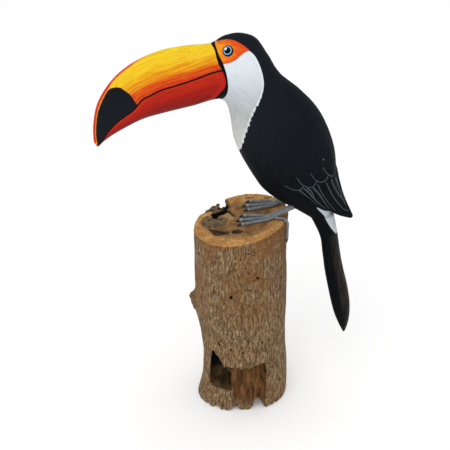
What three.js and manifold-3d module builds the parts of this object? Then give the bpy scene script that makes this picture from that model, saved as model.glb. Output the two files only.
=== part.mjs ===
// A carved and painted wooden toucan with soldered wire feet, perched on an upright piece of weathered log.
// Millimetres, +Z up. The origin is the centre of the log's foot, on the floor.
// The bird faces -X, so its left side is at -Y. It stands a little behind the log's axis, towards +Y.
import * as THREE from "three";
import { mergeVertices } from "three/addons/utils/BufferGeometryUtils.js";
import Module from "manifold-3d";

const wasm = await Module();
wasm.setup();

// ---------------------------------------------------------------- driving dimensions
const GAP = 0.3; // between pieces that touch
const BIRD_Y = 12; // the bird's middle plane, behind the log's axis

const LOG_HEIGHT = 260; // on the axis
const TOP_SLOPE = { x: 0.17, y: 0.14 }; // the saw cut falls towards the bill and the left side
// The log's lean and girth up its height, each as [x of its middle, radius].
const LOG = [
  [4, 58],
  [5, 57],
  [4.5, 56],
  [2, 57],
  [-0.5, 59.5],
  [-1.5, 60],
  [-2, 60],
  [-2.3, 60.2],
  [-2, 61.3],
];
const LOG_FLARE = 8; // how far the foot spreads at the front left
const LOG_SIDES = 32;
// The log's knot, and what is cut from it: sizes along x, y and z, and where their middles lie.
// Those in the saw cut are placed by x and y, and by their lift over it.
const KNOT = { size: [13, 12, 16], at: [-57, -4, 141] };
const RIM_CHIP = { size: [40, 30, 24], at: [-44, 45], lift: 4 };
const HOLLOW = { size: [17, 16, 5], at: [-37, 2] };
const GROOVE = { size: [26, 7, 4], turn: 0.1, at: [-19, -24] };
const RECESS = { size: [50, 60, 72], at: [14, -60, 32] };
const RECESS_INSET = 3; // how deep the recess is at the floor
const RECESS_TAPER = 26; // how much deeper it would be at the saw cut
const HOLE = { size: [28, 60, 40], at: [-22, -55, 48] };
const PEAK = { size: [14, 50, 26], tilt: -0.5, at: [-24, -58, 68] };
const SPLIT = { size: [13, 60, 34], at: [29, -45, 0] };
const NICK = { radius: 9, depth: 24, places: [[0, -56, 0], [-26, -53, 0]] };
const [LOG_TOP_X, LOG_TOP_RADIUS] = LOG[LOG.length - 1];

const TOE = 2.3; // radius of a front toe
const HIND_TOE = 1.6;
const SHANK = 3.2; // radius of a leg
const PAD = { x: 6, y: 7.2, z: 3.4 }; // half sizes of the foot's middle
const TOE_LENGTH = 40.5; // from the foot's middle to the claw
const CLAW_LENGTH = 5.6;
const HIND_DROP = 24; // how far the hind toe hangs below the rim
// Each foot by its side, its middle and the angle at which its hind toe crosses the rim.
const FEET = [
  [-1, 38, -6, -0.24],
  [1, 42, 27, 0.6],
];

const EYE = { x: -17.3, y: 14, z: 485, radius: 8.2 };

const BLACK = 0x16191d;
const COLOURS = {
  black: BLACK,
  white: 0xe9ecec,
  yellow: 0xf0b41e,
  red: 0xc23a1c,
  blue: 0x5fa8dc,
  grey: 0x7d868b,
  wood: 0x9a7a55,
};

// Sections of the carving, each as [top x, top z, low x, low z, half width].
// They run from the bill's tip over the crown and down the back to the vent.
const CARVING = [
  [-195, 353.5, -189.5, 345, 3.2],
  [-194.5, 374, -182.5, 352.5, 5.5],
  [-187.5, 405, -171, 362, 9.5],
  [-166.5, 438, -152, 374.5, 13.5],
  [-138.5, 461.7, -129, 387.5, 16.5],
  [-105, 478, -103, 397, 18.5],
  [-72, 485.8, -66, 408.5, 19.5],
  [-42, 490.3, -30, 420, 20.5],
  [-27, 499.8, -22.5, 416, 23.5],
  [-8, 504.5, -19.5, 409.5, 26],
  [12, 499.8, -18, 402, 27],
  [28, 479, -16.5, 393, 27.5],
  [43, 456, -15, 381, 29],
  [66.5, 437.3, -11.2, 365, 34],
  [89.5, 414.3, -3.5, 348, 38.5],
  [105.3, 386.5, 9, 326.5, 40.5],
  [115, 356, 24, 305, 39],
  [117.3, 325.5, 44.5, 289.5, 33.5],
  [114.5, 295, 67, 278, 25],
  [113, 268, 90, 265, 16],
];
const TAIL = [
  [116.5, 272, 86.5, 269.5, 18.5],
  [123, 241, 100.3, 241, 17.5],
  [127, 217, 104.3, 217, 17.5],
  [132.7, 190, 108.6, 190, 18.5],
  [139.7, 162, 115, 160, 19],
  [144, 136, 122.2, 131, 18],
  [143.5, 113, 130.3, 110, 13],
  [139.3, 97.5, 137, 96, 5],
];
// The wings' ends, where they stand clear of the trunk and meet over the tail.
const WING_ENDS = [
  [107, 356, 50, 326, 30],
  [118, 334, 72, 308, 34],
  [122.5, 316, 87, 297, 30],
  [128.5, 297, 105, 281, 20],
  [134.5, 283.5, 121, 271.5, 12.5],
  [142.5, 268.5, 138.5, 266, 4],
];
const CORE_ROW = 11; // the section where the trunk's core, which the wings lie on, begins
const WING_DEPTH = 8;
const WING_STEP = 1.5; // how far a wing stands proud of the trunk
const WING_TIP_Z = 267;
const MANTLE_LEAN = 0.14; // how fast the wings part over the back, for each millimetre up

// Lines in the bird's side view, each as [x, z].
const WING_OUTLINE = [
  [55, 455],
  [29, 424],
  [19, 392],
  [19, 360],
  [29, 336],
  [57, 320],
  [88, 303.5],
  [103, 285.5],
  [113, 278.5],
  [121, 270.5],
  [132, 265.5],
  [150, 258],
  [150, 300],
  [130, 370],
  [97, 430],
];
const OUTLINE_STEPS = 34;
const BILL_BASE = [
  [-45, 510],
  [-38, 492],
  [-30, 474],
  [-22, 455],
  [-19, 440],
  [-24, 427],
  [-36, 412],
];
const MOUTH = [
  [-10, 468],
  [-31, 461],
  [-53, 452],
  [-85, 439.5],
  [-98, 434.5],
  [-111, 427],
  [-124, 418],
  [-140, 406],
  [-160, 387],
  [-177, 362],
  [-192, 338],
];
const SHEET_STEPS = 16; // along each of the two lines above
// The cuts that part the neck from the head and the trunk, each by two points of its line.
const NAPE_CUT = [-17, 403, 28, 479];
const BREAST_CUT = [-14, 383, 44, 457];
const BEYOND = 600; // reaches past the bird on every side

// ---------------------------------------------------------------- shape helpers
const rounded = (value, power) => Math.sign(value) * Math.abs(value) ** (2 / power);

// A closed body through the given sections. Its ends are flat. grow swells it by that many millimetres.
function loft(rows, around, along, { power = 2, grow = 0 } = {}) {
  const tops = new THREE.CatmullRomCurve3(rows.map(([x, z, , , half]) => new THREE.Vector3(x, half, z)));
  const lows = new THREE.CatmullRomCurve3(rows.map(([, , x, z, half]) => new THREE.Vector3(x, half, z)));
  const shape = new THREE.SphereGeometry(1, around, along);
  const place = shape.attributes.position;
  for (let i = 0; i < place.count; i++) {
    const row = Math.round((Math.acos(THREE.MathUtils.clamp(place.getY(i), -1, 1)) / Math.PI) * along);
    const t = THREE.MathUtils.clamp((row - 1) / (along - 2), 0, 1);
    const [top, low] = [tops.getPoint(t), lows.getPoint(t)];
    const half = new THREE.Vector2((top.x - low.x) / 2, (top.z - low.z) / 2);
    const reach = Math.hypot(place.getX(i), place.getZ(i));
    const closed = reach < 1e-6;
    const up = closed ? 0 : rounded(place.getX(i) / reach, power) * (1 + grow / half.length());
    const out = closed ? 0 : rounded(place.getZ(i) / reach, power) * (top.y + grow);
    place.setXYZ(i, (top.x + low.x) / 2 + half.x * up, -out, (top.z + low.z) / 2 + half.y * up);
  }
  return shape;
}

// A closed round rod along points, each with its own radius.
function rod(points, radii, around, along) {
  const path = new THREE.CatmullRomCurve3(points);
  const sizes = new THREE.CatmullRomCurve3(radii.map((r, i) => new THREE.Vector3(i, r, 0)));
  const frames = path.computeFrenetFrames(along - 2);
  const shape = new THREE.SphereGeometry(1, around, along);
  const place = shape.attributes.position;
  for (let i = 0; i < place.count; i++) {
    const row = Math.round((Math.acos(THREE.MathUtils.clamp(place.getY(i), -1, 1)) / Math.PI) * along);
    const step = THREE.MathUtils.clamp(row - 1, 0, along - 2);
    const reach = Math.hypot(place.getX(i), place.getZ(i));
    const size = reach < 1e-6 ? 0 : sizes.getPoint(step / (along - 2)).y / reach;
    const at = path
      .getPointAt(step / (along - 2))
      .addScaledVector(frames.normals[step], place.getX(i) * size)
      .addScaledVector(frames.binormals[step], place.getZ(i) * size);
    place.setXYZ(i, at.x, at.y, at.z);
  }
  return shape;
}

// three.js geometry to a solid that can be cut, and back.
function solid(geometry) {
  const bare = geometry.clone();
  bare.deleteAttribute("normal");
  bare.deleteAttribute("uv");
  const merged = mergeVertices(bare, 1e-3);
  const triVerts = new Uint32Array(merged.index.array);
  return new wasm.Manifold(
    new wasm.Mesh({ numProp: 3, vertProperties: merged.attributes.position.array, triVerts }),
  );
}

function mesh(name, made, colour, roughness = 0.6, metalness = 0) {
  const { vertProperties, triVerts } = made.getMesh();
  const geometry = new THREE.BufferGeometry();
  geometry.setAttribute("position", new THREE.BufferAttribute(new Float32Array(vertProperties), 3));
  geometry.setIndex(new THREE.BufferAttribute(new Uint32Array(triVerts), 1));
  geometry.computeVertexNormals();
  const found = new THREE.Mesh(
    geometry,
    new THREE.MeshStandardMaterial({ color: colour, roughness, metalness, flatShading: true }),
  );
  found.name = name;
  return found;
}

const moved = (geometry, x, y, z) => solid(geometry.translate(x, y, z));
const piecesBySize = (made) => made.decompose().sort((a, b) => b.volume() - a.volume());

// A thin slab through two points of the middle plane, which parts what it crosses.
function slab(x1, z1, x2, z2) {
  const box = new THREE.BoxGeometry(BEYOND, BEYOND, GAP);
  box.rotateY(-Math.atan2(z2 - z1, x2 - x1));
  return moved(box, (x1 + x2) / 2, 0, (z1 + z2) / 2);
}

// A thin sheet across the bird along a curve in its side view.
function sheet(line) {
  const curve = new THREE.SplineCurve(line.map(([x, z]) => new THREE.Vector2(x, z)));
  const edge = (shift) =>
    curve.getPoints(SHEET_STEPS).map((p, i) => {
      const along = curve.getTangent(i / SHEET_STEPS);
      return new THREE.Vector2(p.x - along.y * shift, p.y + along.x * shift);
    });
  return across(new THREE.Shape([...edge(GAP / 2), ...edge(-GAP / 2).reverse()]));
}

// A shape in the bird's side view, drawn out across the bird.
function across(shape) {
  const made = new THREE.ExtrudeGeometry(shape, { depth: BEYOND, bevelEnabled: false });
  return moved(made.rotateX(Math.PI / 2), 0, BEYOND / 2, 0);
}

// ---------------------------------------------------------------- log
const topHeight = (x, y) => LOG_HEIGHT + TOP_SLOPE.x * x + TOP_SLOPE.y * y;

// The log's round body, thinner by inset millimetres at the foot and inset + taper at the top.
function bole(inset, taper) {
  const shape = new THREE.CylinderGeometry(1, 1, 1, LOG_SIDES, LOG.length - 1).rotateX(Math.PI / 2);
  const place = shape.attributes.position;
  for (let i = 0; i < place.count; i++) {
    const level = place.getZ(i) + 0.5;
    const [middle, girth] = LOG[Math.round(level * (LOG.length - 1))];
    const frontLeft = Math.max(0, -0.8 * place.getX(i) - 0.6 * place.getY(i));
    const flare = level < 0.01 ? LOG_FLARE * frontLeft ** 3 : 0;
    const radius = girth + flare - inset - taper * level;
    const x = middle + radius * place.getX(i);
    const y = radius * place.getY(i);
    place.setXYZ(i, x, y, level * topHeight(x, y));
  }
  return solid(shape);
}

const block = ({ size, tilt = 0, at }) => moved(new THREE.BoxGeometry(...size).rotateY(tilt), ...at);
const ball = ({ size, turn = 0, at }) =>
  moved(new THREE.SphereGeometry(1, 12, 8).scale(...size).rotateZ(turn), ...at);
// The same block or ball, lifted from the floor to the saw cut.
const inCut = ({ at: [x, y], lift = 0, ...rest }) => ({ ...rest, at: [x, y, topHeight(x, y) + lift] });

function makeLog() {
  // a knot, where a branch was lost, on the side under the bill; then in the top the rim's
  // broken piece, the rotten hollow beside it and a groove in front
  let log = bole(0, 0)
    .add(ball(KNOT))
    .subtract(block(inCut(RIM_CHIP)))
    .subtract(ball(inCut(HOLLOW)))
    .subtract(ball(inCut(GROOVE)));

  // the rotted foot: a recess that grows shallow towards the floor, a deep hole with a lip below it,
  // a split that shows the floor behind, and the nicks of the ragged edge
  log = log
    .subtract(block(RECESS).subtract(bole(RECESS_INSET, RECESS_TAPER)))
    .subtract(block(HOLE))
    .subtract(block(PEAK))
    .subtract(block(SPLIT));
  for (const place of NICK.places) {
    const nick = new THREE.ConeGeometry(NICK.radius, NICK.depth, 8).rotateX(Math.PI / 2);
    log = log.subtract(moved(nick, ...place));
  }
  return piecesBySize(log)[0];
}

// ---------------------------------------------------------------- bird
// The whole carving in one, swollen by grow.
const carved = (grow) => solid(loft(CARVING, 24, 40, { power: 2.05, grow }));

// Everything on one side of a plane that leans out from the wings' tips to the shoulders.
function outside(side, grow) {
  const box = new THREE.BoxGeometry(BEYOND, BEYOND, BEYOND);
  box.translate(0, side * (BEYOND / 2 + GAP / 2 - grow), 0);
  const lean = new THREE.Matrix4().set(1, 0, 0, 0, 0, 1, side * MANTLE_LEAN, 0, 0, 0, 1, 0, 0, 0, 0, 1);
  return moved(box.applyMatrix4(lean), 0, 0, WING_TIP_Z);
}

// A folded wing: a shell over the trunk's core, inside the wing's outline.
function wing(side, grow = 0) {
  const cover = carved(WING_STEP + grow);
  const ends = solid(loft(WING_ENDS, 22, 11, { power: 2.3, grow }));
  const core = solid(loft(CARVING.slice(CORE_ROW), 16, 9, { grow: -WING_DEPTH - grow }));
  const rim = new THREE.CatmullRomCurve3(WING_OUTLINE.map(([x, z]) => new THREE.Vector3(x, z, 0)), true);
  const outline = Array.from({ length: OUTLINE_STEPS }, (_, i) => {
    const [point, along] = [rim.getPointAt(i / OUTLINE_STEPS), rim.getTangentAt(i / OUTLINE_STEPS)];
    return new THREE.Vector2(point.x - along.y * -grow, point.y + along.x * -grow);
  });
  return cover
    .add(ends)
    .subtract(core)
    .intersect(across(new THREE.Shape(outline)))
    .intersect(outside(side, grow));
}

function makeBird() {
  const group = new THREE.Group();
  group.position.y = BIRD_Y;
  const add = (...made) => group.add(mesh(...made));
  const middle = (made) => {
    const box = made.boundingBox();
    return box.min[2] + box.max[2];
  };
  const byHeight = (made, count) =>
    piecesBySize(made)
      .slice(0, count)
      .sort((a, b) => middle(b) - middle(a));

  const eye = (side, radius) =>
    moved(new THREE.SphereGeometry(radius, 14, 9), EYE.x, side * EYE.y, EYE.z);
  let carving = carved(0);
  for (const [side, name] of [[-1, "left"], [1, "right"]]) {
    carving = carving.subtract(eye(side, EYE.radius + GAP)).subtract(wing(side, GAP));
    add("eye_" + name, eye(side, EYE.radius), COLOURS.blue, 0.1);
    add("wing_" + name, piecesBySize(wing(side))[0], COLOURS.black);
  }

  // the bill is parted from the head along the black band, and along the mouth
  const [front, back] = piecesBySize(carving.subtract(sheet(BILL_BASE)))
    .slice(0, 2)
    .sort((a, b) => a.boundingBox().min[0] - b.boundingBox().min[0]);
  const [upper, lower] = byHeight(front.subtract(sheet(MOUTH)), 2);
  add("bill_upper", upper, COLOURS.yellow, 0.45);
  add("bill_lower", lower, COLOURS.red, 0.45);

  // the neck lies between a cut from chin to nape and one from breast to back
  const cuts = back.subtract(slab(...NAPE_CUT)).subtract(slab(...BREAST_CUT));
  const [head, neck, trunk] = byHeight(cuts, 3);
  add("head", head, COLOURS.black);
  add("neck", neck, COLOURS.white);
  add("trunk", trunk, COLOURS.black);

  const above = carved(GAP).add(wing(-1, GAP)).add(wing(1, GAP));
  const tail = solid(loft(TAIL, 20, 13, { power: 2.6 })).subtract(above);
  add("tail", byHeight(tail, 1)[0], COLOURS.black);
  return group;
}

// ---------------------------------------------------------------- feet
// A point over the saw cut, lift millimetres above it.
const onTop = (x, y, lift) => new THREE.Vector3(x, y, topHeight(x, y) + lift);

// One foot: its middle at x, y, its hind toe bent over the rim at the angle hindTurn.
function makeFoot(side, x, y, hindTurn, body) {
  const name = side < 0 ? "left" : "right";
  const made = [];
  const add = (node, shape, colour) => made.push(mesh(node, shape, colour, 0.5, 0.4));
  const shank = [onTop(x + 29, y + side, 15.5), onTop(x + 14, y, 9.5), onTop(x + 1, y, 5.5)];
  const pad = (grow) => {
    const ball = new THREE.SphereGeometry(1, 10, 6).scale(PAD.x + grow, PAD.y + grow, PAD.z + grow);
    const middle = onTop(x, y, PAD.z + GAP);
    const sizes = [SHANK + grow, SHANK + grow, SHANK * 0.9 + grow];
    return moved(ball, ...middle.toArray()).add(solid(rod(shank, sizes, 8, 6)));
  };
  add("leg_" + name, piecesBySize(pad(0).subtract(body))[0], COLOURS.grey);
  const keepOff = pad(GAP);

  for (const [toe, spread] of Object.entries({ inner: -side * 10, middle: 0, outer: side * 10 })) {
    const reach = TOE_LENGTH - Math.abs(spread) * 0.35;
    const path = [
      onTop(x - 2, y + spread * 0.45, TOE + GAP),
      onTop(x - reach * 0.45, y + spread * 0.75, TOE + GAP),
      onTop(x - reach, y + spread, TOE + GAP),
    ];
    const claw = [
      onTop(x - reach - GAP * 1.5, y + spread, TOE + GAP),
      onTop(x - reach - CLAW_LENGTH * 0.5, y + spread, TOE),
      onTop(x - reach - CLAW_LENGTH, y + spread, 1),
    ];
    const shape = solid(rod(path, [TOE * 0.72, TOE, TOE], 8, 6)).subtract(keepOff);
    add(`toe_${name}_${toe}`, piecesBySize(shape)[0], COLOURS.grey);
    add(`claw_${name}_${toe}`, solid(rod(claw, [TOE * 0.85, TOE * 0.6, 0.5], 7, 4)), BLACK);
  }

  // the hind toe is a thinner wire, bent over the rim to hang down the log's side
  const hang = (inward, lift) => {
    const radius = LOG_TOP_RADIUS + HIND_TOE + 1 - inward;
    return onTop(LOG_TOP_X + radius * Math.cos(hindTurn), radius * Math.sin(hindTurn), lift);
  };
  const over = [onTop(x + 3, y, 4), hang(14, 4.5), hang(4, 3.5)];
  const path = [...over, hang(0, -2), hang(0, -HIND_DROP / 2), hang(0, -HIND_DROP)];
  const claw = [GAP, CLAW_LENGTH / 2, CLAW_LENGTH].map((drop) => hang(0, -HIND_DROP - drop));
  const hind = solid(rod(path, path.map(() => HIND_TOE), 7, 13)).subtract(keepOff);
  add(`toe_${name}_hind`, piecesBySize(hind)[0], COLOURS.grey);
  add(`claw_${name}_hind`, solid(rod(claw, [HIND_TOE, HIND_TOE * 0.8, 0.5], 7, 4)), BLACK);
  return made;
}

// ---------------------------------------------------------------- assembly
const toucan = new THREE.Group();
toucan.add(mesh("log", makeLog(), COLOURS.wood, 0.9));
toucan.add(makeBird());
const body = carved(GAP).translate(0, BIRD_Y, 0);
for (const foot of FEET) toucan.add(...makeFoot(...foot, body));

export default toucan;
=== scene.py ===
import math

import bmesh
import bpy
import numpy as np
from mathutils import Matrix, Vector, noise


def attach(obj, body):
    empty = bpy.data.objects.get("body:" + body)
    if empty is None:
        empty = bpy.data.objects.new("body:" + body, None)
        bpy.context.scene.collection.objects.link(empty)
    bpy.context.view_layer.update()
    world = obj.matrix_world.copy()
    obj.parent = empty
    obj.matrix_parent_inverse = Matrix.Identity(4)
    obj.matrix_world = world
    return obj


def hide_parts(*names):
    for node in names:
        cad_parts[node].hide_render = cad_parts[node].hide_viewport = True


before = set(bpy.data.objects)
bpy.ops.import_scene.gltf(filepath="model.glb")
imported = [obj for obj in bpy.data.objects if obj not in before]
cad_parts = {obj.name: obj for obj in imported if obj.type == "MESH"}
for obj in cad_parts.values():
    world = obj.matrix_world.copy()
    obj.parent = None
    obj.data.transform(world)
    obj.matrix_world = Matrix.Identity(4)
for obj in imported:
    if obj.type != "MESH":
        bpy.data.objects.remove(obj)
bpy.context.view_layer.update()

# ---------------------------------------------------------------- camera, floor and light
# The carving stands on a plain white floor, seen from its left side and a little above.
# One large soft lamp stands at the left, and white walls all round fill the shadows.
VIEW_TURN = math.radians(8)
VIEW_RISE = math.radians(26.5)
VIEW_DISTANCE = 1.5
VIEW_TARGET = Vector((-0.0225, 0, 0.25))

scene = bpy.context.scene
scene.view_settings.view_transform = "Standard"


def show(name, data):
    """An object that holds data, put in the scene."""
    made = bpy.data.objects.new(name, data)
    scene.collection.objects.link(made)
    return made


away = Vector((
    math.sin(VIEW_TURN) * math.cos(VIEW_RISE),
    -math.cos(VIEW_TURN) * math.cos(VIEW_RISE),
    math.sin(VIEW_RISE),
))
camera = show("camera", bpy.data.cameras.new("camera"))
camera.data.lens = 92.3
camera.data.sensor_width = 36
camera.location = VIEW_TARGET + away * VIEW_DISTANCE
camera.rotation_euler = away.to_track_quat("Z", "Y").to_euler()
scene.camera = camera


def soft_lamp(name, place, size, watts):
    lamp = show(name, bpy.data.lights.new(name, "AREA"))
    lamp.data.shape = "DISK"
    lamp.data.size = size
    lamp.data.energy = watts
    lamp.location = place
    lamp.rotation_euler = (lamp.location - VIEW_TARGET).to_track_quat("Z", "Y").to_euler()


soft_lamp("key_lamp", (-0.4, -1.7, 2.2), 1.6, 12)
soft_lamp("back_lamp", (1.0, 1.2, 2.1), 1.4, 3)

walls = bpy.data.worlds.new("white_walls")
walls.use_nodes = True
walls.node_tree.nodes["Background"].inputs["Color"].default_value = (1, 1, 1, 1)
walls.node_tree.nodes["Background"].inputs["Strength"].default_value = 0.8
scene.world = walls


def paint(red, green, blue):
    """A paint's colour, mixed as 0 to 255 of each light, for a shader's socket."""
    parts = [c / 255 / 12.92 if c <= 10 else ((c / 255 + 0.055) / 1.055) ** 2.4 for c in (red, green, blue)]
    return (*parts, 1)


def node(tree, kind, inputs=None, **settings):
    """A shader node with its settings made and its inputs set or linked."""
    made = tree.nodes.new("ShaderNode" + kind)
    for key, value in settings.items():
        setattr(made, key, value)
    for key, value in (inputs or {}).items():
        if isinstance(value, bpy.types.NodeSocket):
            tree.links.new(value, made.inputs[key])
        else:
            made.inputs[key].default_value = value
    return made


def new_material(name, roughness, specular):
    """A material, its node tree and its shader, with the numbers that are the same all over."""
    made = bpy.data.materials.new(name)
    made.use_nodes = True
    shader = made.node_tree.nodes["Principled BSDF"]
    shader.inputs["Roughness"].default_value = roughness
    shader.inputs["Specular IOR Level"].default_value = specular
    return made, made.node_tree, shader


floor_shape = bmesh.new()
bmesh.ops.create_grid(floor_shape, x_segments=1, y_segments=1, size=12)
floor_mesh = bpy.data.meshes.new("floor")
floor_shape.to_mesh(floor_mesh)
floor_material, _, floor_shader = new_material("floor_paint", 0.9, 0.0)
floor_shader.inputs["Base Color"].default_value = paint(255, 255, 255)
floor_shader.inputs["Emission Color"].default_value = paint(255, 255, 255)
floor_shader.inputs["Emission Strength"].default_value = 0.14
floor_mesh.materials.append(floor_material)
show("floor", floor_mesh)

# ---------------------------------------------------------------- the log
# An upright length of barkless hardwood, grey and fibrous from weather, freshly sawn across at the top.
# Rot has opened its foot and hollowed its top, and beetles have bored it. The carving is fixed to it.
LOG_HEIGHT = 260
TOP_SLOPE = Vector((0.17, 0.14))
LOG_LEAN = (4, 5, 4.5, 2, -0.5, -1.5, -2, -2.3, -2)  # x of its middle, up its height
LOG_GIRTH = (58, 57, 56, 57, 59.5, 60, 60, 60.2, 61.3)  # its radius
FLARE, FLARE_HEIGHT = 8, 24  # the foot spreads at the front left
RIM_ROUNDING = 0.8
SAPWOOD = 19  # width of the pale ring inside the rim
LOG_GRAIN = 1.35  # the size of the mesh's squares
WORM_HOLES = (  # as degrees round from the back right, height and width
    (-63, 204, 3.2), (-96, 177, 3.4), (-97, 95, 2.4), (-114, 99, 3.0), (-55, 105, 2.4), (-81, 92, 2.2),
    (-144, 226, 2.6), (-73, 188, 1.8), (-75, 241, 2.0), (-87, 150, 1.5), (-108, 143, 1.6), (-40, 120, 2.2),
    (-20, 190, 2.6), (35, 150, 3.0), (80, 96, 2.4), (120, 180, 3.0), (155, 70, 2.4),
)
ROT_WINDOW = (  # the rotted opening at the foot, as x and z
    (-37, 27), (-38.5, 38), (-37, 61), (-33.5, 85), (-28, 80), (-24, 77), (-19, 69), (-16.5, 63),
    (-11, 66.5), (-5, 65), (1, 67), (7, 64), (13, 67), (18, 65.5), (24, 69.5), (30, 70), (37, 73.5),
    (38, 66), (40, 58), (38.5, 50), (40, 30), (39, 12), (40, -6), (-3, -6), (-2, 12), (-4, 24), (-2, 38),
    (-6, 30), (-12, 27.5), (-20, 29), (-28, 26),
)
DEEP_HOLE = (
    (-36, 31), (-37.5, 45), (-36.5, 60), (-32, 82), (-25, 74), (-20, 62), (-12, 57), (-8, 50), (-9, 38),
    (-7, 32), (-14, 34), (-20, 30), (-27, 33),
)
KNOT_Y, KNOT_Z, KNOT_PROUD = -4, 142, 8.5
KNOT_HALF_WIDTH, KNOT_ABOVE, KNOT_BELOW = 10, 9, 17
RECESS_INSET, RECESS_TAPER = 3, 26  # the opening's back wall lies this deep at the foot, and deeper above
FOOT_NOTCHES = ((0, 9), (-26, 8))  # x and radius
FOOT_SPLIT = ((20, -6), (23, 9), (27, 17), (31, 15), (36, 4), (37, -6))
TOP_CRACKS = (  # as x and y on the saw cut
    ((-40, 14), (-33, 22), (-27, 27), (-19, 20), (-12, 10)),
    ((-28, 26), (-27, 35), (-30, 44)),
    ((24, 46), (31, 47)),
    ((0, 50), (8, 51)),
)
ROT_HOLLOW = (  # the wide soft hollow in the saw cut, as x and y
    (-55, 3), (-54.5, 11.5), (-49, 16), (-40, 13), (-33, 10.5), (-25.5, 8.5), (-20, -0.5), (-20.5, -8.5),
    (-26, -12.5), (-34.5, -14), (-44.5, -13.5), (-51.5, -6.5),
)
ROT_STAINS = (  # dark and shallow, in front of it
    ((-44, -15), (-39, -21), (-33, -31), (-27, -32.5), (-14, -32),
     (-11.5, -26), (-18, -23), (-27, -20), (-36, -16.5)),
    ((-11, -22.5), (-9, -30.5), (-1, -32.5), (5, -30.5), (4, -25), (-2.5, -22)),
)
RIM_BREAK = (  # where the rim has broken away behind it
    (-64, 24), (-54, 22), (-48, 25), (-41, 25), (-35, 29), (-20, 31), (-22, 38), (-26, 47), (-30, 53),
    (-30, 66), (-64, 66),
)
BREAK_FLOOR = ((-38, 29), (-20, 31), (-22, 38), (-26, 47), (-30, 53), (-31, 66), (-37, 66), (-36, 42))
CREVICE = (
    (-44, 18), (-42, 24), (-33, 27), (-26, 31), (-17, 22), (-23, 20), (-25, 16.5), (-31, 14.5), (-34, 11),
    (-40, 13),
)
PALE_SPLINTER = (
    (-30, 12.5), (-25, 15), (-22, 18.5), (-16, 18), (-11, 8), (-11, 1), (-17, 0), (-19, 6), (-25, 9),
)
TOP_HALF, ROT_HEIGHT, CUT_ZONE = 120, 100, 200  # heights: over TOP_HALF, under ROT_HEIGHT, near the saw cut
HOLLOW_DEPTH, STAIN_DEPTH, BREAK_DEPTH, DEEPEST = 2.6, 1.3, 3, 11
CREVICE_DEPTH, CRACK_DEPTH = 10, 3
FIBRE_HEIGHT, SWELL_HEIGHT, POCKET_DEPTH, FOLD_HEIGHT = 0.55, 1.1, 2.2, 1.7


def top_height(x, y):
    return LOG_HEIGHT + TOP_SLOPE.x * x + TOP_SLOPE.y * y


def curve_through(points, count, closed=False):
    """count places along a smooth centripetal curve through the points, as rows of numbers."""
    points = np.array(points, float)
    size = len(points)
    last = size if closed else size - 1
    found = []
    for step in np.linspace(0, last, count, endpoint=not closed):
        i = min(int(step), last - 1)
        if closed:
            a, b, c, d = (points[(i + k) % size] for k in (-1, 0, 1, 2))
        else:
            b, c = points[i], points[i + 1]
            a = points[i - 1] if i > 0 else 2 * b - c
            d = points[i + 2] if i + 2 < size else 2 * c - b
        ab, bc, cd = (max(np.linalg.norm(q - p), 1e-4) ** 0.5 for p, q in ((a, b), (b, c), (c, d)))
        leave = ((b - a) / ab - (c - a) / (ab + bc) + (c - b) / bc) * bc
        arrive = ((c - b) / bc - (d - b) / (bc + cd) + (d - c) / cd) * bc
        t = step - i
        bend = -3 * b + 3 * c - 2 * leave - arrive
        found.append(b + leave * t + bend * t**2 + (2 * b - 2 * c + leave + arrive) * t**3)
    return np.array(found)


def bridge(shape, rings):
    """Walls between rings of edges, each to the next, and a lid on each end."""
    for lower, upper in zip(rings, rings[1:]):
        bmesh.ops.bridge_loops(shape, edges=lower + upper)
    for end in (rings[0], rings[-1]):
        bmesh.ops.contextual_create(shape, geom=end)
    bmesh.ops.recalc_face_normals(shape, faces=shape.faces)


def ring(shape, sides, place):
    """A ring of edges, each point moved from the unit circle by place."""
    points = bmesh.ops.create_circle(shape, segments=sides, radius=1)["verts"]
    edges = list({edge for point in points for edge in point.link_edges})
    for point in points:
        point.co = place(point.co.x, point.co.y)
    return edges


def block(corners, way):
    """A closed block: a face drawn out by way."""
    shape = bmesh.new()
    face = shape.faces.new([shape.verts.new(corner) for corner in corners])
    grown = bmesh.ops.extrude_face_region(shape, geom=[face])["geom"]
    moved = [part for part in grown if isinstance(part, bmesh.types.BMVert)]
    bmesh.ops.translate(shape, verts=moved, vec=way)
    bmesh.ops.recalc_face_normals(shape, faces=shape.faces)
    return shape


def slab(outline, front, back):
    """A block with an outline in x and z, from front to back along y."""
    return block([(x, front, z) for x, z in outline], (0, back - front, 0))


def well(outline, depth):
    """A block over an outline in x and y, from depth under the saw cut to well over it."""
    return block([(x, y, top_height(x, y) - depth) for x, y in outline], (0, 0, depth + 20))


def ball(size, place):
    shape = bmesh.new()
    matrix = Matrix.LocRotScale(Vector(place), None, Vector(size))
    bmesh.ops.create_icosphere(shape, subdivisions=3, radius=1, matrix=matrix)
    return shape


def pointing(middle, direction):
    """The move that takes the origin to middle and turns +Z along a direction."""
    return Matrix.Translation(middle) @ direction.to_track_quat("Z", "Y").to_matrix().to_4x4()


def peg(start, end, radius, end_radius=None):
    """A round closed rod from start to end."""
    shape = bmesh.new()
    start, end = Vector(start), Vector(end)
    bmesh.ops.create_cone(
        shape, cap_ends=True, segments=14, radius1=radius, radius2=end_radius or radius,
        depth=(end - start).length, matrix=pointing((start + end) / 2, end - start),
    )
    return shape


def settle(shape):
    """A bmesh made into a mesh."""
    mesh = bpy.data.meshes.new("part")
    shape.to_mesh(mesh)
    shape.free()
    return mesh


def worked(mesh, kind, **settings):
    """The mesh that one modifier makes of a mesh."""
    holder = show("work", mesh)
    modifier = holder.modifiers.new("work", kind)
    for key, value in settings.items():
        setattr(modifier, key, value)
    view = bpy.context.evaluated_depsgraph_get()
    made = bpy.data.meshes.new_from_object(holder.evaluated_get(view))
    bpy.data.objects.remove(holder)
    return made


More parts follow.
